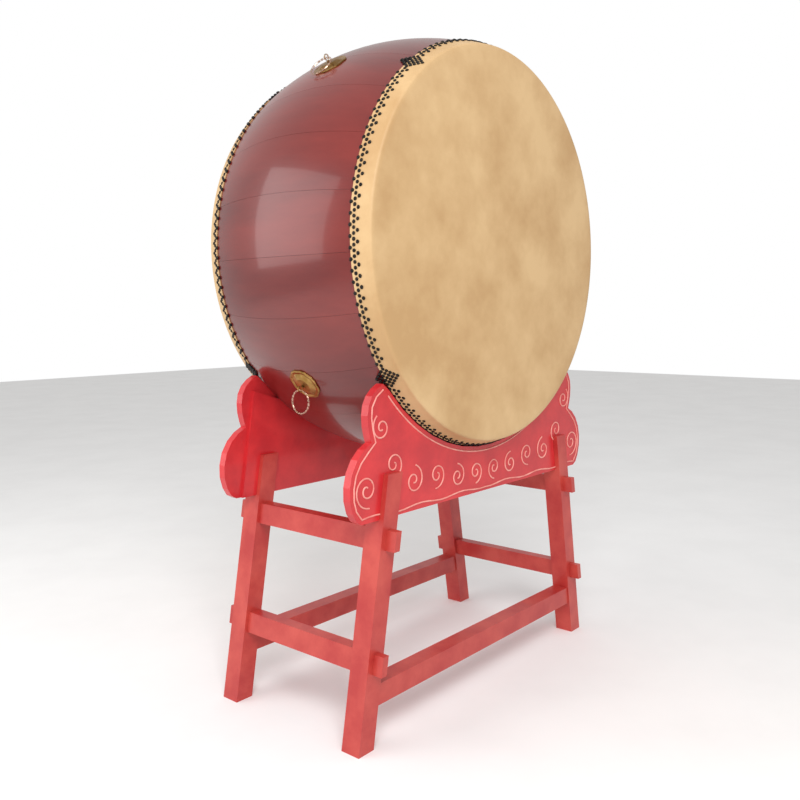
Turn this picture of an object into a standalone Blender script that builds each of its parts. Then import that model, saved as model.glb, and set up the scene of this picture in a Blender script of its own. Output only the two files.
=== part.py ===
"""Temple drum on a carved wooden cradle stand: construction model, metres, +Z up.

The drum's axis lies along Y and its front head faces -Y. The stand's feet are on z = 0.
"""
import math

import bmesh
import bpy
from mathutils import Vector

# Driving sizes of the drum
HEAD_RADIUS = 0.600        # drum head, across its outer edge
BELLY_RADIUS = 0.6667      # barrel at mid length
HALF_LENGTH = 0.335        # from mid length to a head's face
AXIS_HEIGHT = 1.420        # drum axis above the floor
SHELL_WALL = 0.040
STAVE_COUNT = 24
FACETS_PER_STAVE = 2
DRUM_ROLL = -7.5           # degrees that the drum lies turned in its cradle
GAP = 0.0003               # clearance between touching pieces

# Skins and nails
SKIN = 0.003
SKIN_TURNOVER = 0.057      # length of skin turned over the barrel's edge
NAIL_HALF_WIDTH = 0.0045
NAIL_HEIGHT = 0.0035
NAIL_ROW = 0.042           # nail line behind the head's face
NAIL_ZIGZAG = 0.009        # half width of the zigzag

# Handles
PLATE_RADIUS = 0.054
PLATE_THICK = 0.003
PLATE_LOBES = 8
DOME_HEIGHT = 0.010
PIN_WIRE = 0.00225
PIN_SPACING = 0.0025       # each leg of the split pin from the pin's middle
PIN_TAIL = 0.020
EYE_RADIUS = 0.0085
EYE_STANDOFF = 0.025       # eye centre above the barrel
RING_RADIUS = 0.035
RING_SIDES = 20
RING_WIRE = 0.003
RING_SAG = 0.0022          # the ring's wire rests inside the eye, this far off its centre
PIN_HOLE_CLEAR = 0.0006
RING_REST_HIGH = 14.0      # upper rings lie this far below the plate's plane

# Stand
LEG_WIDTH = 0.062
LEG_DEPTH = 0.066
LEG_FRONT = 0.296          # leg's outer face from the middle
LEG_SPLAY = 0.172          # outward run of a leg for each unit it drops
SEAT_HEIGHT = 0.646        # panel's lower edge
SEAT_HALF_WIDTH = 0.5185   # leg's outer side at seat height
CHEEK_TOP = 0.773
OUTER_CHEEK = 0.017
PANEL_THICK = 0.025
LINER_THICK = 0.009
LINER_OVERHANG = 0.055     # liner's end beyond a leg's outer side
LINER_TOP = 0.978
STAVE_STATIONS = 2         # stations between the cradle and mid length

# Stretchers
SIDE_UPPER_HEIGHT = 0.589
SIDE_LOWER_HEIGHT = 0.248
LONG_FRONT_HEIGHT = 0.150
LONG_REAR_HEIGHT = 0.176
RAIL_TALL = 0.062
RAIL_THICK = 0.040
TENON_TALL = 0.056
TENON_THICK = 0.022
TENON_PROUD = 0.035
LONG_RAIL_THICK = 0.056
STUB_TENON = 0.025
STUB_THICK = 0.024
STUB_TALL = 0.040

PANEL_FRONT = LEG_FRONT - OUTER_CHEEK
PANEL_BACK = PANEL_FRONT - PANEL_THICK
LINER_FRONT = PANEL_BACK - GAP
LINER_BACK = LINER_FRONT - LINER_THICK
SHELL_END = HALF_LENGTH - SKIN - GAP
SEGMENTS = STAVE_COUNT * FACETS_PER_STAVE
FACET_ANGLE = 360.0 / SEGMENTS


def clear_scene():
    for item in list(bpy.data.objects):
        bpy.data.objects.remove(item, do_unlink=True)


def make_material(name, colour, roughness, metallic=0.0):
    material = bpy.data.materials.new(name)
    material.use_nodes = True
    shader = material.node_tree.nodes["Principled BSDF"]
    shader.inputs["Base Color"].default_value = (*colour, 1.0)
    shader.inputs["Roughness"].default_value = roughness
    shader.inputs["Metallic"].default_value = metallic
    material.diffuse_color = (*colour, 1.0)
    return material


def add_object(name, mesh_builder, material):
    mesh = bpy.data.meshes.new(name)
    bmesh.ops.recalc_face_normals(mesh_builder, faces=mesh_builder.faces)
    mesh_builder.to_mesh(mesh)
    mesh_builder.free()
    mesh.materials.append(material)
    item = bpy.data.objects.new(name, mesh)
    bpy.context.scene.collection.objects.link(item)
    return item


def barrel_radius(y):
    """Radius of the barrel's outer surface at y."""
    return BELLY_RADIUS - (BELLY_RADIUS - HEAD_RADIUS + SKIN) * (y / HALF_LENGTH) ** 2


def around(radius, degrees, y):
    """A point round the drum's axis."""
    angle = math.radians(degrees)
    return Vector((radius * math.cos(angle), y, AXIS_HEIGHT + radius * math.sin(angle)))


def loft(rings):
    """Closed solid through rings of points, each ring with the same count, ends capped."""
    bm = bmesh.new()
    rows = [[bm.verts.new(point) for point in ring] for ring in rings]
    count = len(rows[0])
    for first, second in zip(rows, rows[1:]):
        for i in range(count):
            j = (i + 1) % count
            bm.faces.new((first[i], first[j], second[j], second[i]))
    bm.faces.new(list(reversed(rows[0])))
    bm.faces.new(rows[-1])
    return bm


def revolve(profile, first_angle, segments):
    """Closed ring solid: a closed profile of (radius, y) points turned round the drum's axis."""
    bm = bmesh.new()
    rows = []
    for k in range(segments):
        degrees = first_angle + k * 360.0 / segments
        rows.append([bm.verts.new(around(radius, degrees, y)) for radius, y in profile])
    count = len(profile)
    for k in range(segments):
        first, second = rows[k], rows[(k + 1) % segments]
        for i in range(count):
            j = (i + 1) % count
            bm.faces.new((first[i], first[j], second[j], second[i]))
    return bm


def stave_stations():
    """Places along the drum where a stave has an edge, from the cradle's seat outwards."""
    inner = [LINER_BACK * i / STAVE_STATIONS for i in range(STAVE_STATIONS + 1)]
    half = inner + [PANEL_FRONT, SHELL_END]
    return [-y for y in reversed(half[1:])] + half


def facet_edge(index):
    """Angle of one of the barrel's long edges."""
    return DRUM_ROLL + (index - 0.5) * FACET_ANGLE


def make_stave(index, material):
    half_gap = math.degrees(GAP / 2.0 / BELLY_RADIUS)
    start = index * FACETS_PER_STAVE
    angles = [facet_edge(start + i) for i in range(FACETS_PER_STAVE + 1)]
    angles[0] += half_gap
    angles[-1] -= half_gap
    rings = []
    for y in stave_stations():
        outer = barrel_radius(y)
        ring = [around(outer, angle, y) for angle in angles]
        ring += [around(outer - SHELL_WALL, angle, y) for angle in reversed(angles)]
        rings.append(ring)
    return add_object(f"stave_{index + 1:02d}", loft(rings), material)


def make_skin(name, side, material):
    """Head skin: a disc with its edge turned over the barrel."""
    edge = HALF_LENGTH - SKIN_TURNOVER
    seat = [HALF_LENGTH - SKIN, PANEL_FRONT + SKIN, edge]
    inner = [barrel_radius(y) + GAP for y in seat]
    outer = [radius + SKIN for radius in inner]
    rim = HALF_LENGTH - SKIN
    bm = bmesh.new()
    rows = []
    levels = [(outer[0] - SKIN, HALF_LENGTH), (outer[0], rim), (outer[1], seat[1]), (outer[2], seat[2]),
              (inner[2], seat[2]), (inner[1], seat[1]), (inner[0], seat[0])]
    for radius, y in levels:
        row = [bm.verts.new(around(radius, facet_edge(k), side * y)) for k in range(SEGMENTS)]
        rows.append(row)
    for first, second in zip(rows, rows[1:]):
        for i in range(SEGMENTS):
            j = (i + 1) % SEGMENTS
            bm.faces.new((first[i], first[j], second[j], second[i]))
    bm.faces.new(rows[0])
    bm.faces.new(rows[-1])
    return add_object(name, bm, material)


def skin_outer(y):
    """Radius of a skin's outer surface at y, along its straight facets."""
    rim = HALF_LENGTH - SKIN
    bend = PANEL_FRONT + SKIN
    if y < bend:
        return barrel_radius(y) + GAP + SKIN
    part = (y - bend) / (rim - bend)
    return barrel_radius(bend) * (1.0 - part) + barrel_radius(rim) * part + GAP + SKIN


def make_nail_row(name, side, material):
    """Zigzag row of nail heads that touch each other, as one low ring seated on the skin."""
    section = [(-NAIL_HALF_WIDTH, 0.0), (-NAIL_HALF_WIDTH / 2.0, NAIL_HEIGHT),
               (NAIL_HALF_WIDTH / 2.0, NAIL_HEIGHT), (NAIL_HALF_WIDTH, 0.0)]
    half_facet = FACET_ANGLE / 2.0
    bm = bmesh.new()
    rows = []
    for k in range(2 * SEGMENTS):
        on_corner = k % 2 == 0
        reach = 1.0 if on_corner else math.cos(math.radians(half_facet))
        middle = HALF_LENGTH - NAIL_ROW + (-NAIL_ZIGZAG if on_corner else NAIL_ZIGZAG)
        row = []
        for across, height in section:
            y = middle + across
            radius = reach * (skin_outer(y) + GAP + height)
            row.append(bm.verts.new(around(radius, facet_edge(0) + k * half_facet, side * y)))
        rows.append(row)
    for first, second in zip(rows, rows[1:] + rows[:1]):
        for i in range(4):
            j = (i + 1) % 4
            bm.faces.new((first[i], first[j], second[j], second[i]))
    return add_object(name, bm, material)


def handle_frame(degrees):
    """Centre on the barrel, outward direction and direction round the barrel at a handle."""
    flat = barrel_radius(0.0) * math.cos(math.radians(FACET_ANGLE / 2.0))
    out = around(1.0, degrees, 0.0) - around(0.0, degrees, 0.0)
    round_way = Vector((-out.z, 0.0, out.x))
    return around(flat, degrees, 0.0), out, round_way


def make_plate(name, degrees, material):
    """Scalloped back plate with a raised rim, a dome and a slot for the pin."""
    centre, out, round_way = handle_frame(degrees)
    along = Vector((0.0, 1.0, 0.0))
    count = PLATE_LOBES * 3
    slot = PIN_SPACING + PIN_WIRE + PIN_HOLE_CLEAR
    levels = [(slot, GAP), (PLATE_RADIUS, GAP), (PLATE_RADIUS, GAP + PLATE_THICK),
              (PLATE_RADIUS - 0.005, GAP + PLATE_THICK + 0.0015), (PLATE_RADIUS - 0.012, GAP + PLATE_THICK),
              (PLATE_RADIUS * 0.45, GAP + DOME_HEIGHT), (slot, GAP + DOME_HEIGHT + 0.001)]
    bm = bmesh.new()
    rows = []
    for radius, height in levels:
        row = []
        for k in range(count):
            angle = 2.0 * math.pi * k / count
            lobe = 1.0 - 0.055 * (1.0 - abs(math.sin(angle * PLATE_LOBES / 2.0))) if radius > 0.03 else 1.0
            place = centre + height * out + radius * lobe * (math.cos(angle) * along + math.sin(angle) * round_way)
            row.append(bm.verts.new(place))
        rows.append(row)
    for first, second in zip(rows, rows[1:] + rows[:1]):
        for i in range(count):
            j = (i + 1) % count
            bm.faces.new((first[i], first[j], second[j], second[i]))
    return add_object(name, bm, material)


def tube(path, radius, sides=6):
    """Round wire along a path that lies in one plane across Y."""
    bm = bmesh.new()
    rows = []
    along = Vector((0.0, 1.0, 0.0))
    for i, point in enumerate(path):
        arriving = (point - path[i - 1]).normalized() if i > 0 else Vector()
        leaving = (path[i + 1] - point).normalized() if i + 1 < len(path) else Vector()
        heading = (arriving + leaving).normalized()
        side = heading.cross(along).normalized()
        rows.append([bm.verts.new(point + radius * (math.cos(a) * along + math.sin(a) * side))
                     for a in (2.0 * math.pi * k / sides for k in range(sides))])
    for first, second in zip(rows, rows[1:]):
        for i in range(sides):
            j = (i + 1) % sides
            bm.faces.new((first[i], first[j], second[j], second[i]))
    bm.faces.new(rows[0])
    bm.faces.new(rows[-1])
    return bm


def make_pin(name, degrees, material):
    """Split pin: an eye outside, two legs through the stave, tails bent flat inside."""
    centre, out, round_way = handle_frame(degrees)
    inside = -(SHELL_WALL + PIN_WIRE + 2.0 * GAP)
    half = [(inside, PIN_TAIL), (inside, PIN_SPACING), (DOME_HEIGHT, PIN_SPACING)]
    eye = []
    for k in range(11):
        angle = math.radians(-70.0 + 320.0 * k / 10.0)
        eye.append((EYE_STANDOFF + EYE_RADIUS * math.sin(angle), EYE_RADIUS * math.cos(angle)))
    line = half + eye + [(a, -b) for a, b in reversed(half)]
    path = [centre + a * out + b * round_way for a, b in line]
    return add_object(name, tube(path, PIN_WIRE), material)


def eye_centre(degrees):
    centre, out, _ = handle_frame(degrees)
    return centre + EYE_STANDOFF * out


def make_ring(name, degrees, material):
    """Handle ring with its origin on its hinge, at the eye's centre."""
    low = math.sin(math.radians(degrees)) < 0.0
    _, out, round_way = handle_frame(degrees)
    down = Vector((0.0, 0.0, -1.0))
    if not low:
        slope = round_way if round_way.z < 0.0 else -round_way
        tilt = math.radians(RING_REST_HIGH)
        down = math.cos(tilt) * slope - math.sin(tilt) * out
    along = Vector((0.0, 1.0, 0.0))
    normal = down.cross(along).normalized()
    bm = bmesh.new()
    rows = []
    for k in range(RING_SIDES):
        turn = 2.0 * math.pi * k / RING_SIDES
        spoke = -math.cos(turn) * down + math.sin(turn) * along
        middle = RING_SAG * down + RING_RADIUS * (down + spoke)
        rows.append([bm.verts.new(middle + RING_WIRE * (math.cos(a) * spoke + math.sin(a) * normal))
                     for a in (2.0 * math.pi * i / 6 for i in range(6))])
    for k in range(RING_SIDES):
        first, second = rows[k], rows[(k + 1) % RING_SIDES]
        for i in range(6):
            j = (i + 1) % 6
            bm.faces.new((first[i], first[j], second[j], second[i]))
    ring = add_object(name, bm, material)
    ring.location = eye_centre(degrees)
    return ring


def leg_outer(z):
    """Leg's outer side at a height."""
    return SEAT_HALF_WIDTH + LEG_SPLAY * (SEAT_HEIGHT - z)


def box_between(low, high, shear, pivot_z):
    """Six-sided solid between two corners, leaning in X with height."""
    rings = []
    for y in (low[1], high[1]):
        ring = []
        for x, z in ((low[0], low[2]), (high[0], low[2]), (high[0], high[2]), (low[0], high[2])):
            ring.append(Vector((x + shear * (pivot_z - z), y, z)))
        rings.append(ring)
    return loft(rings)


def cut(target, cutter):
    """Cut one object out of another and drop the cutter."""
    modifier = target.modifiers.new("cut", "BOOLEAN")
    modifier.operation = "DIFFERENCE"
    modifier.object = cutter
    graph = bpy.context.evaluated_depsgraph_get()
    mesh = bpy.data.meshes.new_from_object(target.evaluated_get(graph))
    target.modifiers.clear()
    target.data = mesh
    bpy.data.objects.remove(cutter, do_unlink=True)


def side_rail_sections(grow):
    """Half sizes of a side stretcher's sections from one end to the other."""
    tip = LEG_FRONT + TENON_PROUD + grow
    shoulder = LEG_FRONT - LEG_DEPTH - GAP
    tenon = (TENON_THICK / 2.0 + grow, TENON_TALL / 2.0 + grow)
    body = (RAIL_THICK / 2.0, RAIL_TALL / 2.0)
    return [(-tip, tenon), (-shoulder, tenon), (-shoulder, body), (shoulder, body), (shoulder, tenon), (tip, tenon)]


def side_rail_centre(height):
    return leg_outer(height) - LEG_WIDTH / 2.0


def side_rail_mesh(side, height, sections):
    rings = []
    for y, (half_thick, half_tall) in sections:
        ring = []
        for dx, dz in ((-1, -1), (1, -1), (1, 1), (-1, 1)):
            x = side * (side_rail_centre(height) - LEG_SPLAY * dz * half_tall) + dx * half_thick
            ring.append(Vector((x, y, height + dz * half_tall)))
        rings.append(ring)
    return loft(rings)


def make_side_rail(name, side, height, material):
    return add_object(name, side_rail_mesh(side, height, side_rail_sections(0.0)), material)


def long_rail_height(face):
    return LONG_FRONT_HEIGHT if face < 0 else LONG_REAR_HEIGHT


def long_rail_mesh(face, grow):
    """Long lower stretcher with a stub tenon in each leg."""
    height = long_rail_height(face)
    mid_y = face * (LEG_FRONT - LEG_DEPTH / 2.0)
    rings = []
    inner = LEG_WIDTH + GAP
    body = (LONG_RAIL_THICK / 2.0, RAIL_TALL / 2.0)
    stub = (STUB_THICK / 2.0 + grow, STUB_TALL / 2.0 + grow)
    reach = inner - STUB_TENON - grow
    for side, order in ((-1, ((reach, stub), (inner, stub), (inner, body))),
                        (1, ((inner, body), (inner, stub), (reach, stub)))):
        for inset, (half_thick, half_tall) in order:
            ring = []
            for dy, dz in ((-1, -1), (1, -1), (1, 1), (-1, 1)):
                z = height + dz * half_tall
                ring.append(Vector((side * (leg_outer(z) - inset), mid_y + dy * half_thick, z)))
            rings.append(ring)
    return loft(rings)


def make_leg(name, side, face, material):
    """Splayed leg, slotted at the top for the panel and its liner, mortised for the stretchers."""
    back = LEG_FRONT - LEG_DEPTH
    slot_out = PANEL_FRONT + GAP
    slot_in = LINER_BACK - GAP
    seat = SEAT_HEIGHT - GAP
    outline = [(back, 0.0), (LEG_FRONT, 0.0), (LEG_FRONT, CHEEK_TOP), (slot_out, CHEEK_TOP), (slot_out, seat),
               (slot_in, seat), (slot_in, CHEEK_TOP), (back, CHEEK_TOP)]
    rings = []
    for inset in (0.0, LEG_WIDTH):
        rings.append([Vector((side * (leg_outer(z) - inset), face * y, z)) for y, z in outline])
    leg = add_object(name, loft(rings), material)
    for height in (SIDE_UPPER_HEIGHT, SIDE_LOWER_HEIGHT):
        tip = LEG_FRONT + TENON_PROUD
        hole = (TENON_THICK / 2.0 + GAP, TENON_TALL / 2.0 + GAP)
        cut(leg, add_object("cutter", side_rail_mesh(side, height, [(-tip, hole), (tip, hole)]), material))
    cut(leg, add_object("cutter", long_rail_mesh(face, GAP), material))
    return leg


def arc_points(radius):
    """The cradle's arc, with its corners in line with the barrel's long edges, left to right."""
    reach = math.degrees(math.acos((AXIS_HEIGHT - TIP_HEIGHT) / radius))
    steps = int((reach - FACET_ANGLE / 2.0) / FACET_ANGLE)
    points = []
    for k in range(-steps - 1, steps + 1):
        angle = math.radians(-90.0 + (k + 0.5) * FACET_ANGLE)
        points.append((radius * math.cos(angle), AXIS_HEIGHT + radius * math.sin(angle)))
    return points


TIP_HEIGHT = 1.026
# Half outline of the cloud-shaped end, from the tip down to the lower edge
LOBE_POINTS = [(0.497, 1.026), (0.520, 1.014), (0.542, 0.995), (0.556, 0.970), (0.561, 0.942), (0.559, 0.910),
               (0.552, 0.882), (0.546, 0.866), (0.575, 0.851), (0.603, 0.826), (0.624, 0.792), (0.634, 0.754),
               (0.634, 0.716), (0.624, 0.681), (0.609, 0.657), (0.590, 0.646)]


def mirrored_outline(half, arc):
    """Closed outline from a right-hand half, top to bottom, and the arc between the tips."""
    left = [(-x, z) for x, z in half]
    return arc + half + list(reversed(left))


def plank(outline, y_front, y_back, face):
    rings = [[Vector((x, face * y, z)) for x, z in outline] for y in (y_front, y_back)]
    return loft(rings)


def make_panel(name, face, material):
    radius = barrel_radius(PANEL_BACK) + GAP
    outline = mirrored_outline(LOBE_POINTS, arc_points(radius))
    return add_object(name, plank(outline, PANEL_FRONT, PANEL_BACK, face), material)


def make_liner(name, face, material):
    """Plain board behind a panel: its arc carries the drum."""
    radius = barrel_radius(LINER_BACK) + GAP
    top = (leg_outer(LINER_TOP) + LINER_OVERHANG, LINER_TOP)
    foot = (leg_outer(SEAT_HEIGHT) + LINER_OVERHANG, SEAT_HEIGHT)
    arc = [(x, z) for x, z in arc_points(radius) if z < LINER_TOP + 0.015]
    outline = mirrored_outline([top, foot], arc)
    return add_object(name, plank(outline, LINER_FRONT, LINER_BACK, face), material)


def cut_pin_hole(stave, degrees, material):
    """Slot through a stave for the split pin's two legs."""
    centre, out, round_way = handle_frame(degrees)
    along = Vector((0.0, 1.0, 0.0))
    half_long = PIN_SPACING + PIN_WIRE + PIN_HOLE_CLEAR
    half_wide = PIN_WIRE + PIN_HOLE_CLEAR
    rings = []
    for depth in (-SHELL_WALL * 1.5, SHELL_WALL * 0.5):
        rings.append([centre + depth * out + a * half_long * round_way + b * half_wide * along
                      for a, b in ((-1, -1), (1, -1), (1, 1), (-1, 1))])
    cut(stave, add_object("cutter", loft(rings), material))


def build():
    clear_scene()
    lacquer = make_material("barrel_lacquer", (0.15, 0.012, 0.010), 0.28)
    stand_red = make_material("stand_lacquer", (0.52, 0.030, 0.035), 0.38)
    hide = make_material("hide", (0.58, 0.38, 0.19), 0.6)
    iron = make_material("nail_iron", (0.012, 0.011, 0.010), 0.45, 0.6)
    brass = make_material("aged_brass", (0.42, 0.28, 0.11), 0.38, 1.0)

    staves = [make_stave(k, lacquer) for k in range(STAVE_COUNT)]
    for name, side in (("front", -1), ("rear", 1)):
        make_skin(f"{name}_skin", side, hide)
        make_nail_row(f"{name}_nail_row", side, iron)
    for name, local in (("right_upper", 45.0), ("left_upper", 135.0), ("left_lower", 225.0), ("right_lower", 315.0)):
        degrees = local + DRUM_ROLL
        make_plate(f"{name}_handle_plate", degrees, brass)
        make_pin(f"{name}_handle_pin", degrees, brass)
        make_ring(f"{name}_handle_ring", degrees, brass)
        facet = int(local / FACET_ANGLE)
        cut_pin_hole(staves[facet // FACETS_PER_STAVE], degrees, lacquer)
    for face_name, face in (("front", -1), ("rear", 1)):
        make_panel(f"{face_name}_cradle_panel", face, stand_red)
        make_liner(f"{face_name}_cradle_liner", face, stand_red)
        add_object(f"{face_name}_long_stretcher", long_rail_mesh(face, 0.0), stand_red)
        for side_name, side in (("left", -1), ("right", 1)):
            make_leg(f"{face_name}_{side_name}_leg", side, face, stand_red)
    for side_name, side in (("left", -1), ("right", 1)):
        make_side_rail(f"{side_name}_upper_stretcher", side, SIDE_UPPER_HEIGHT, stand_red)
        make_side_rail(f"{side_name}_lower_stretcher", side, SIDE_LOWER_HEIGHT, stand_red)


build()
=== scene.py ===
"""Looks of the temple drum on its carved stand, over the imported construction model."""
import math

import bpy
from mathutils import Matrix, Vector


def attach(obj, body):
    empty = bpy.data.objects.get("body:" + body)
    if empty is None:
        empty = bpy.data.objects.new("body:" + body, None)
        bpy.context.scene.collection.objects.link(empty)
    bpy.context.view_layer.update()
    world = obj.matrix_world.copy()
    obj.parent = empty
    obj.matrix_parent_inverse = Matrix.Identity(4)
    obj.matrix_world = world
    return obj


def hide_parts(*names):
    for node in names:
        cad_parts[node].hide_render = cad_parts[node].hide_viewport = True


# Sizes shared with the construction model, in metres
AXIS = 1.420
BELLY = 0.6667
HALF = 0.335
BULGE = 0.0697 / HALF ** 2
WALL = 0.040
SKIN = 0.003
GAP = 0.0003
ROLL = -7.5
STAVES = 24
STAVE_ANGLE = 360.0 / STAVES
SKIN_TURNOVER = 0.057
PANEL_FRONT = 0.279
HANDLES = (37.5, 127.5, 217.5, 307.5)

# Fineness of the turned surfaces
STAVE_STEPS = 8
STAVE_RINGS = 25
SKIN_SEGMENTS = 192
RIM_CORNER = 0.010
RIM_STEPS = 6

# Nails
NAIL_RADIUS = 0.0056
NAIL_DOME = 0.6
NAIL_SEED = 3
ZIGZAG_PERIODS = 131
NAILS_PER_PERIOD = 4
ZIGZAG_REACH = 0.010
NAIL_LINE = 0.047
CLUSTER_PITCH = 0.0108
CLUSTER_REACH = 2
CLUSTER_CLEAR = 3.2
CLUSTER_RADIUS = 0.62

# Carving
SCROLL_WIRE = 0.0024
SCROLL_PROUD = 0.0004
SCROLL_ARC = 0.641

# Soft edges of the construction model's pieces
EDGE_WIDTH = 0.003
EDGE_ANGLE = 40.0

# Camera
CAMERA_PLACE = (-2.217, -1.795, 1.216)
CAMERA_YAW = -49.77
CAMERA_PITCH = -5.85
CAMERA_ROLL = -0.315
CAMERA_LENS = 37.49
CAMERA_SENSOR = 36.0

# Studio
LIGHT_LEVEL = 0.65
FLOOR_REACH = 14.0


def linear(red, green, blue):
    """Linear colour from 8-bit display values."""
    out = []
    for value in (red, green, blue):
        v = value / 255.0
        out.append(v / 12.92 if v <= 0.04045 else ((v + 0.055) / 1.055) ** 2.4)
    return (*out, 1.0)


def paint(name, first, second, scale, roughness, metallic=0.0, coat=0.0, bump=0.05,
          stretch=(1, 1, 1)):
    """Two colours mixed by noise on the object's own coordinates, with a fine bump."""
    material = bpy.data.materials.new(name)
    material.use_nodes = True
    nodes = material.node_tree.nodes
    links = material.node_tree.links
    shader = nodes["Principled BSDF"]
    place = nodes.new("ShaderNodeTexCoord")
    mapping = nodes.new("ShaderNodeMapping")
    mapping.inputs["Scale"].default_value = stretch
    links.new(place.outputs["Object"], mapping.inputs["Vector"])
    noise = nodes.new("ShaderNodeTexNoise")
    noise.inputs["Scale"].default_value = scale
    noise.inputs["Detail"].default_value = 6.0
    noise.inputs["Roughness"].default_value = 0.6
    links.new(mapping.outputs["Vector"], noise.inputs["Vector"])
    ramp = nodes.new("ShaderNodeValToRGB")
    ramp.color_ramp.elements[0].position = 0.36
    ramp.color_ramp.elements[0].color = first
    ramp.color_ramp.elements[1].position = 0.64
    ramp.color_ramp.elements[1].color = second
    links.new(noise.outputs["Fac"], ramp.inputs["Fac"])
    links.new(ramp.outputs["Color"], shader.inputs["Base Color"])
    relief = nodes.new("ShaderNodeBump")
    relief.inputs["Strength"].default_value = bump
    relief.inputs["Distance"].default_value = 0.002
    links.new(noise.outputs["Fac"], relief.inputs["Height"])
    links.new(relief.outputs["Normal"], shader.inputs["Normal"])
    shader.inputs["Roughness"].default_value = roughness
    shader.inputs["Metallic"].default_value = metallic
    shader.inputs["Coat Weight"].default_value = coat
    shader.inputs["Coat Roughness"].default_value = 0.08
    return material


def radius_at(y):
    """Barrel's outer radius."""
    return BELLY - BULGE * y * y


def around(radius, degrees, y):
    """A point round the drum's axis, counted from +X towards +Z."""
    angle = math.radians(degrees)
    return (radius * math.cos(angle), y, AXIS + radius * math.sin(angle))


def add_mesh(name, points, faces, material, smooth=35.0):
    """A mesh object whose edges show as sharp only past the smooth angle."""
    mesh = bpy.data.meshes.new(name)
    mesh.from_pydata(points, [], faces)
    mesh.validate()
    mesh.materials.append(material)
    mesh.shade_smooth()
    mesh.set_sharp_from_angle(angle=math.radians(smooth))
    item = bpy.data.objects.new(name, mesh)
    bpy.context.scene.collection.objects.link(item)
    return item


def loft_faces(rings, count, closed=False):
    """Faces between rings of points, capped at both ends unless the last ring meets the first."""
    faces = []
    total = rings if closed else rings - 1
    for row in range(total):
        a, b = row * count, ((row + 1) % rings) * count
        for i in range(count):
            j = (i + 1) % count
            faces.append((a + i, b + i, b + j, a + j))
    if not closed:
        faces.append(tuple(range(count)))
        faces.append(tuple(reversed(range((rings - 1) * count, rings * count))))
    return faces


def smooth_stave(index, material):
    """One stave with a rounded face."""
    half_gap = math.degrees(GAP / BELLY)
    start = ROLL - STAVE_ANGLE / 4.0 + index * STAVE_ANGLE
    width = STAVE_ANGLE - 2.0 * half_gap
    angles = [start + half_gap + width * i / STAVE_STEPS for i in range(STAVE_STEPS + 1)]
    end = HALF - SKIN - GAP
    points = []
    for ring in range(STAVE_RINGS):
        y = -end + 2.0 * end * ring / (STAVE_RINGS - 1)
        outer = radius_at(y)
        points += [around(outer, a, y) for a in angles]
        points += [around(outer - WALL, a, y) for a in reversed(angles)]
    faces = loft_faces(STAVE_RINGS, 2 * len(angles))
    item = add_mesh(f"lacquered_stave_{index + 1:02d}", points, faces, material)
    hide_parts(f"stave_{index + 1:02d}")
    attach(item, "drum")


def stretched_skin(name, side, material):
    """Hide stretched over the barrel's end, with a soft rim and an edge turned over the staves."""
    outer = [(0.02, HALF), (0.20, HALF), (0.40, HALF), (0.55, HALF), (0.585, HALF)]
    middle_radius = radius_at(HALF - RIM_CORNER) + SKIN + GAP - RIM_CORNER
    middle_y = HALF - RIM_CORNER
    for k in range(1, RIM_STEPS + 1):
        turn = math.radians(90.0 * k / RIM_STEPS)
        outer.append((middle_radius + RIM_CORNER * math.sin(turn), middle_y + RIM_CORNER * math.cos(turn)))
    for depth in (0.020, 0.030, 0.040, 0.050, SKIN_TURNOVER):
        y = HALF - depth
        outer.append((radius_at(y) + SKIN + GAP, y))
    inner = [(radius_at(HALF - d) + GAP, HALF - d) for d in (SKIN_TURNOVER, 0.040, 0.020)]
    inner += [(radius_at(HALF) + GAP, HALF - SKIN), (0.40, HALF - SKIN), (0.02, HALF - SKIN)]
    profile = outer + inner
    count = len(profile)
    last = count - 1
    points = []
    for k in range(SKIN_SEGMENTS):
        angle = 360.0 * k / SKIN_SEGMENTS
        points += [around(radius, angle, side * y) for radius, y in profile]
    faces = []
    for face in loft_faces(SKIN_SEGMENTS, count, closed=True):
        # The profile's two ends aren't joined: a cap closes the skin at each of them
        if {i % count for i in face} != {0, last}:
            faces.append(face)
    faces.append(tuple(k * count for k in range(SKIN_SEGMENTS)))
    faces.append(tuple(k * count + last for k in range(SKIN_SEGMENTS)))
    item = add_mesh(f"stretched_{name}_hide", points, faces, material, 50.0)
    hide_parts(f"{name}_skin")
    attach(item, "drum")


def nail_points(side):
    """Places of the nail heads on one skin: a zigzag, and a diamond in line with each handle."""
    points = []
    count = ZIGZAG_PERIODS * NAILS_PER_PERIOD
    for k in range(count):
        degrees = 360.0 * k / count
        if any(abs((degrees - h + 180.0) % 360.0 - 180.0) < CLUSTER_CLEAR for h in HANDLES):
            continue
        offset = (abs(k % NAILS_PER_PERIOD - 2) - 1) * ZIGZAG_REACH
        y = HALF - NAIL_LINE + offset
        points.append(around(radius_at(y) + SKIN + GAP, degrees, side * y))
    for handle in HANDLES:
        for i in range(-CLUSTER_REACH, CLUSTER_REACH + 1):
            for j in range(-CLUSTER_REACH, CLUSTER_REACH + 1):
                across = (i - j) * CLUSTER_PITCH / math.sqrt(2.0)
                turn = (i + j) * CLUSTER_PITCH / math.sqrt(2.0) / CLUSTER_RADIUS
                y = HALF - NAIL_LINE + across
                points.append(around(radius_at(y) + SKIN + GAP, handle + math.degrees(turn), side * y))
    return points


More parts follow.
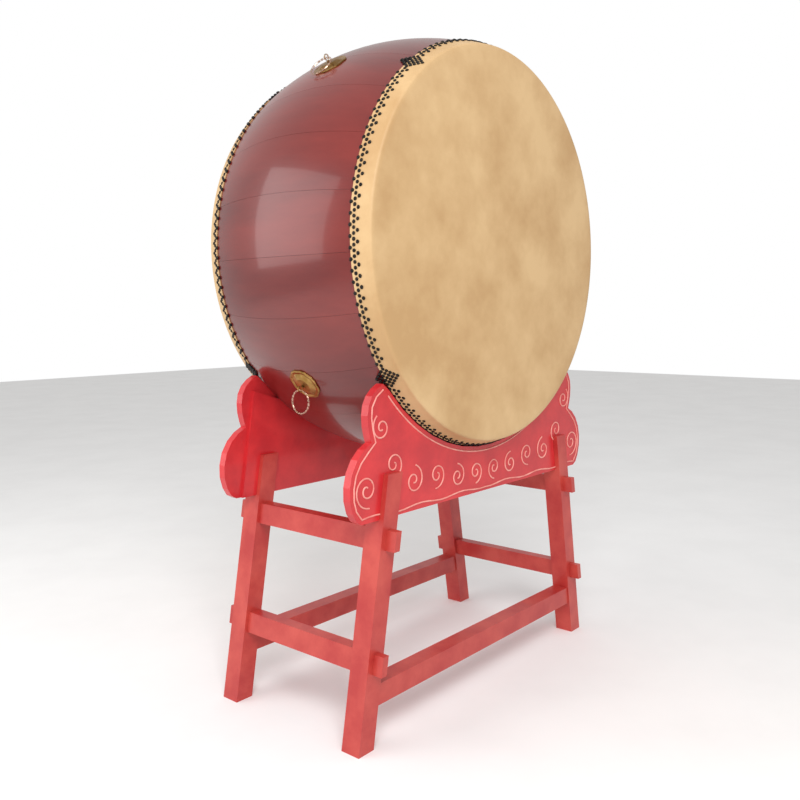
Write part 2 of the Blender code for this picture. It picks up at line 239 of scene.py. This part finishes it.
def nail_tree(material):
    """Geometry nodes: a domed nail head on every point, facing away from the drum's axis."""
    tree = bpy.data.node_groups.new("nail_heads", "GeometryNodeTree")
    face = tree.interface
    face.new_socket("Points", in_out="INPUT", socket_type="NodeSocketGeometry")
    face.new_socket("Nail radius", in_out="INPUT", socket_type="NodeSocketFloat")
    face.new_socket("Dome", in_out="INPUT", socket_type="NodeSocketFloat")
    face.new_socket("Axis height", in_out="INPUT", socket_type="NodeSocketFloat")
    face.new_socket("Seed", in_out="INPUT", socket_type="NodeSocketInt")
    face.new_socket("Nails", in_out="OUTPUT", socket_type="NodeSocketGeometry")
    nodes = tree.nodes
    links = tree.links
    given = nodes.new("NodeGroupInput")
    result = nodes.new("NodeGroupOutput")
    ball = nodes.new("GeometryNodeMeshUVSphere")
    ball.inputs["Segments"].default_value = 12
    ball.inputs["Rings"].default_value = 8
    links.new(given.outputs["Nail radius"], ball.inputs["Radius"])
    scale = nodes.new("ShaderNodeCombineXYZ")
    scale.inputs["X"].default_value = 1.0
    scale.inputs["Y"].default_value = 1.0
    links.new(given.outputs["Dome"], scale.inputs["Z"])
    flatten = nodes.new("GeometryNodeTransform")
    links.new(ball.outputs["Mesh"], flatten.inputs["Geometry"])
    links.new(scale.outputs["Vector"], flatten.inputs["Scale"])
    place = nodes.new("GeometryNodeInputPosition")
    split = nodes.new("ShaderNodeSeparateXYZ")
    links.new(place.outputs["Position"], split.inputs["Vector"])
    drop = nodes.new("ShaderNodeMath")
    drop.operation = "SUBTRACT"
    links.new(split.outputs["Z"], drop.inputs[0])
    links.new(given.outputs["Axis height"], drop.inputs[1])
    radial = nodes.new("ShaderNodeCombineXYZ")
    links.new(split.outputs["X"], radial.inputs["X"])
    links.new(drop.outputs["Value"], radial.inputs["Z"])
    aim = nodes.new("FunctionNodeAlignRotationToVector")
    aim.axis = "Z"
    links.new(radial.outputs["Vector"], aim.inputs["Vector"])
    vary = nodes.new("FunctionNodeRandomValue")
    vary.data_type = "FLOAT_VECTOR"
    vary.inputs[0].default_value = (0.92, 0.92, 0.85)
    vary.inputs[1].default_value = (1.04, 1.04, 1.10)
    links.new(given.outputs["Seed"], vary.inputs["Seed"])
    put = nodes.new("GeometryNodeInstanceOnPoints")
    links.new(given.outputs["Points"], put.inputs["Points"])
    links.new(flatten.outputs["Geometry"], put.inputs["Instance"])
    links.new(aim.outputs["Rotation"], put.inputs["Rotation"])
    links.new(vary.outputs[0], put.inputs["Scale"])
    real = nodes.new("GeometryNodeRealizeInstances")
    links.new(put.outputs["Instances"], real.inputs["Geometry"])
    coat = nodes.new("GeometryNodeSetMaterial")
    coat.inputs["Material"].default_value = material
    links.new(real.outputs["Geometry"], coat.inputs["Geometry"])
    links.new(coat.outputs["Geometry"], result.inputs["Nails"])
    return tree


def nail_heads(name, side, tree, seed, material):
    """All the nail heads of one skin, baked from the node tree."""
    item = add_mesh(f"{name}_nail_heads", nail_points(side), [], material)
    modifier = item.modifiers.new("nails", "NODES")
    modifier.node_group = tree
    values = {"Nail radius": NAIL_RADIUS, "Dome": NAIL_DOME, "Axis height": AXIS, "Seed": seed}
    for socket in tree.interface.items_tree:
        if socket.in_out == "INPUT" and socket.name in values:
            modifier[socket.identifier] = values[socket.name]
    bpy.context.view_layer.update()
    graph = bpy.context.evaluated_depsgraph_get()
    baked = bpy.data.meshes.new_from_object(item.evaluated_get(graph))
    item.modifiers.clear()
    item.data = baked
    baked.shade_smooth()
    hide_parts(f"{name}_nail_row")
    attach(item, "drum")


def spiral(centre, start_radius, end_radius, start, turns, steps=40):
    """Points of a flat spiral in the board's plane."""
    line = []
    for k in range(steps + 1):
        part = k / steps
        radius = start_radius + (end_radius - start_radius) * part ** 0.8
        angle = math.radians(start + 360.0 * turns * part)
        line.append((centre[0] + radius * math.cos(angle), centre[1] + radius * math.sin(angle)))
    return line


def scroll_lines():
    """Right-hand half of the carved cloud scrolls, each a line of (x, z)."""
    lines = [
        spiral((0.568, 0.738), 0.052, 0.008, -100.0, 1.6),
        spiral((0.505, 0.905), 0.040, 0.006, 60.0, -1.5),
        spiral((0.455, 0.795), 0.045, 0.006, -60.0, -1.5),
        spiral((0.365, 0.735), 0.046, 0.006, 100.0, 1.5),
        spiral((0.255, 0.735), 0.042, 0.006, -80.0, -1.5),
        spiral((0.150, 0.715), 0.040, 0.006, 90.0, 1.5),
        spiral((0.052, 0.715), 0.038, 0.006, -90.0, -1.5),
    ]
    # Border inside the cloud-shaped end
    lines.append([(0.497, 1.010), (0.525, 0.992), (0.543, 0.965), (0.546, 0.935), (0.540, 0.900),
                  (0.530, 0.866), (0.560, 0.842), (0.590, 0.815), (0.610, 0.784), (0.619, 0.750),
                  (0.619, 0.716), (0.610, 0.686), (0.590, 0.662)])
    # Waved border along the lower edge
    lines.append([(0.590 - 0.0295 * k, 0.660 + 0.004 * math.sin(k * 0.9)) for k in range(21)])
    # Border under the drum's arc
    upper = []
    for k in range(25):
        angle = math.radians(-90.0 + 2.0 * k)
        upper.append((SCROLL_ARC * math.cos(angle), AXIS + SCROLL_ARC * math.sin(angle)))
    lines.append(upper)
    return lines


def scroll_piece(name, face, material):
    """Raised lines of the scrolls on a board's outer side, pale pink as painted highlight where light
    catches the carved ridges.
    """
    curve = bpy.data.curves.new(f"{name}_scroll_highlight_lines", "CURVE")
    curve.dimensions = "3D"
    curve.bevel_depth = SCROLL_WIRE
    curve.bevel_resolution = 2
    curve.use_fill_caps = True
    for side in (-1.0, 1.0):
        for line in scroll_lines():
            spline = curve.splines.new("POLY")
            spline.points.add(len(line) - 1)
            for point, (x, z) in zip(spline.points, line):
                point.co = (side * x, face * (PANEL_FRONT + SCROLL_PROUD), z, 1.0)
    source = bpy.data.objects.new("scroll_source", curve)
    bpy.context.scene.collection.objects.link(source)
    bpy.context.view_layer.update()
    graph = bpy.context.evaluated_depsgraph_get()
    mesh = bpy.data.meshes.new_from_object(source.evaluated_get(graph))
    bpy.data.objects.remove(source, do_unlink=True)
    # The lines take the pale pink painted highlight of the carved ridges
    mesh.materials.clear()
    mesh.materials.append(material)
    mesh.shade_smooth()
    item = bpy.data.objects.new(f"{name}_scroll_highlight_lines", mesh)
    bpy.context.scene.collection.objects.link(item)
    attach(item, "stand")


def dress_frame(frame, materials):
    """Better materials and soft edges for the construction model's own pieces."""
    for name, node in frame["nodes"].items():
        if "stretcher" in name or "leg" in name:
            material = materials["timber"]
        elif "cradle" in name:
            material = materials["board"]
        elif "handle_ring" in name:
            material = materials["ring"]
        elif "handle" in name:
            material = materials["brass"]
        elif "stave" in name:
            material = materials["barrel"]
        elif "skin" in name:
            material = materials["hide"]
        else:
            material = materials["iron"]
        node.data.materials.clear()
        node.data.materials.append(material)
        if "ring" in name or "pin" in name:
            modifier = node.modifiers.new("round", "SUBSURF")
            modifier.levels = 2
            modifier.render_levels = 2
        elif "leg" in name or "stretcher" in name or "panel" in name:
            modifier = node.modifiers.new("soft_edge", "BEVEL")
            modifier.width = EDGE_WIDTH
            modifier.segments = 3
            modifier.limit_method = "ANGLE"
            modifier.angle_limit = math.radians(EDGE_ANGLE)


def set_camera():
    """Camera where the photograph was taken from."""
    yaw = math.radians(CAMERA_YAW)
    pitch = math.radians(CAMERA_PITCH)
    roll = math.radians(CAMERA_ROLL)
    level = math.cos(pitch)
    forward = Vector((-math.sin(yaw) * level, math.cos(yaw) * level, math.sin(pitch)))
    right = Vector((math.cos(yaw), math.sin(yaw), 0.0))
    up = right.cross(forward)
    right_rolled = math.cos(roll) * right + math.sin(roll) * up
    up_rolled = -math.sin(roll) * right + math.cos(roll) * up
    data = bpy.data.cameras.new("photo_view")
    data.lens = CAMERA_LENS
    data.sensor_width = CAMERA_SENSOR
    item = bpy.data.objects.new("photo_view", data)
    bpy.context.scene.collection.objects.link(item)
    turn = Matrix((right_rolled, up_rolled, -forward)).transposed()
    item.matrix_world = Matrix.Translation(CAMERA_PLACE) @ turn.to_4x4()
    bpy.context.scene.camera = item


def area_light(name, place, target, size, power):
    """A square soft light that faces a target."""
    data = bpy.data.lights.new(name, "AREA")
    data.energy = power
    data.size = size
    item = bpy.data.objects.new(name, data)
    bpy.context.scene.collection.objects.link(item)
    item.location = place
    item.rotation_euler = (Vector(target) - Vector(place)).to_track_quat("-Z", "Y").to_euler()


def set_world():
    """Even studio light, and plain white behind the object."""
    world = bpy.data.worlds.new("studio")
    bpy.context.scene.world = world
    world.use_nodes = True
    nodes = world.node_tree.nodes
    links = world.node_tree.links
    soft = nodes["Background"]
    soft.inputs["Color"].default_value = (1.0, 0.99, 0.98, 1.0)
    soft.inputs["Strength"].default_value = LIGHT_LEVEL
    white = nodes.new("ShaderNodeBackground")
    white.inputs["Color"].default_value = (1.0, 1.0, 1.0, 1.0)
    white.inputs["Strength"].default_value = 1.0
    ray = nodes.new("ShaderNodeLightPath")
    mix = nodes.new("ShaderNodeMixShader")
    links.new(ray.outputs["Is Camera Ray"], mix.inputs["Fac"])
    links.new(soft.outputs["Background"], mix.inputs[1])
    links.new(white.outputs["Background"], mix.inputs[2])
    links.new(mix.outputs["Shader"], nodes["World Output"].inputs["Surface"])


def set_floor():
    """Plain pale floor under the stand."""
    pale = linear(250, 250, 250)
    material = paint("studio_floor", pale, linear(246, 246, 246), 2.0, 0.9, bump=0.0)
    corners = ((-1, -1), (1, -1), (1, 1), (-1, 1))
    points = [(FLOOR_REACH * x, FLOOR_REACH * y, 0.0) for x, y in corners]
    item = add_mesh("studio_floor", points, [(0, 1, 2, 3)], material)


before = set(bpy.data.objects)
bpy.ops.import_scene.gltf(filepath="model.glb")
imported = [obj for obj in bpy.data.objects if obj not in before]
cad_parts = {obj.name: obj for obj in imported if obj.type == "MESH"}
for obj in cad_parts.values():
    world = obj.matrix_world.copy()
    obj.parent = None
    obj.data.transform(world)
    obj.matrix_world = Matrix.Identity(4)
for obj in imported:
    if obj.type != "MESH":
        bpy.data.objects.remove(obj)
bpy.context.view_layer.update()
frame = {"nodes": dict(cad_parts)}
looks = {
    "barrel": paint("barrel_gloss", linear(96, 18, 16), linear(122, 34, 28), 5.0, 0.30, coat=0.5,
                    stretch=(1, 0.2, 1)),
    "timber": paint("timber_red", linear(176, 44, 42), linear(196, 72, 62), 9.0, 0.42, coat=0.15),
    "board": paint("board_red", linear(190, 36, 44), linear(214, 48, 52), 8.0, 0.36, coat=0.25),
    # Pale pink of the scroll lines is painted highlight where light catches the carved ridges
    "carving_highlight": paint("pink_ridge_highlight", linear(226, 130, 122), linear(240, 168, 156), 30.0, 0.5),
    "hide": paint("stretched_hide", linear(190, 152, 104), linear(212, 178, 130), 4.0, 0.55, bump=0.2),
    "iron": paint("dark_iron", linear(20, 18, 17), linear(40, 36, 33), 40.0, 0.38, metallic=0.7),
    "brass": paint("aged_brass", linear(140, 104, 52), linear(188, 150, 92), 30.0, 0.34,
                   metallic=1.0, bump=0.15),
    "ring": paint("ring_brass", linear(205, 168, 148), linear(222, 190, 170), 30.0, 0.25,
                  metallic=1.0),
}
dress_frame(frame, looks)
for index in range(STAVES):
    smooth_stave(index, looks["barrel"])
heads = nail_tree(looks["iron"])
for end_name, end_side in (("front", -1), ("rear", 1)):
    stretched_skin(end_name, end_side, looks["hide"])
    nail_heads(end_name, end_side, heads, NAIL_SEED + end_side, looks["iron"])
    scroll_piece(end_name, end_side, looks["carving_highlight"])

set_camera()
set_world()
set_floor()
area_light("key", (-3.2, -3.0, 4.2), (0.0, 0.0, 1.1), 2.6, 190.0)
area_light("fill", (-3.6, 2.2, 2.4), (0.0, 0.0, 1.0), 3.0, 60.0)
bpy.context.scene.view_settings.view_transform = "Standard"
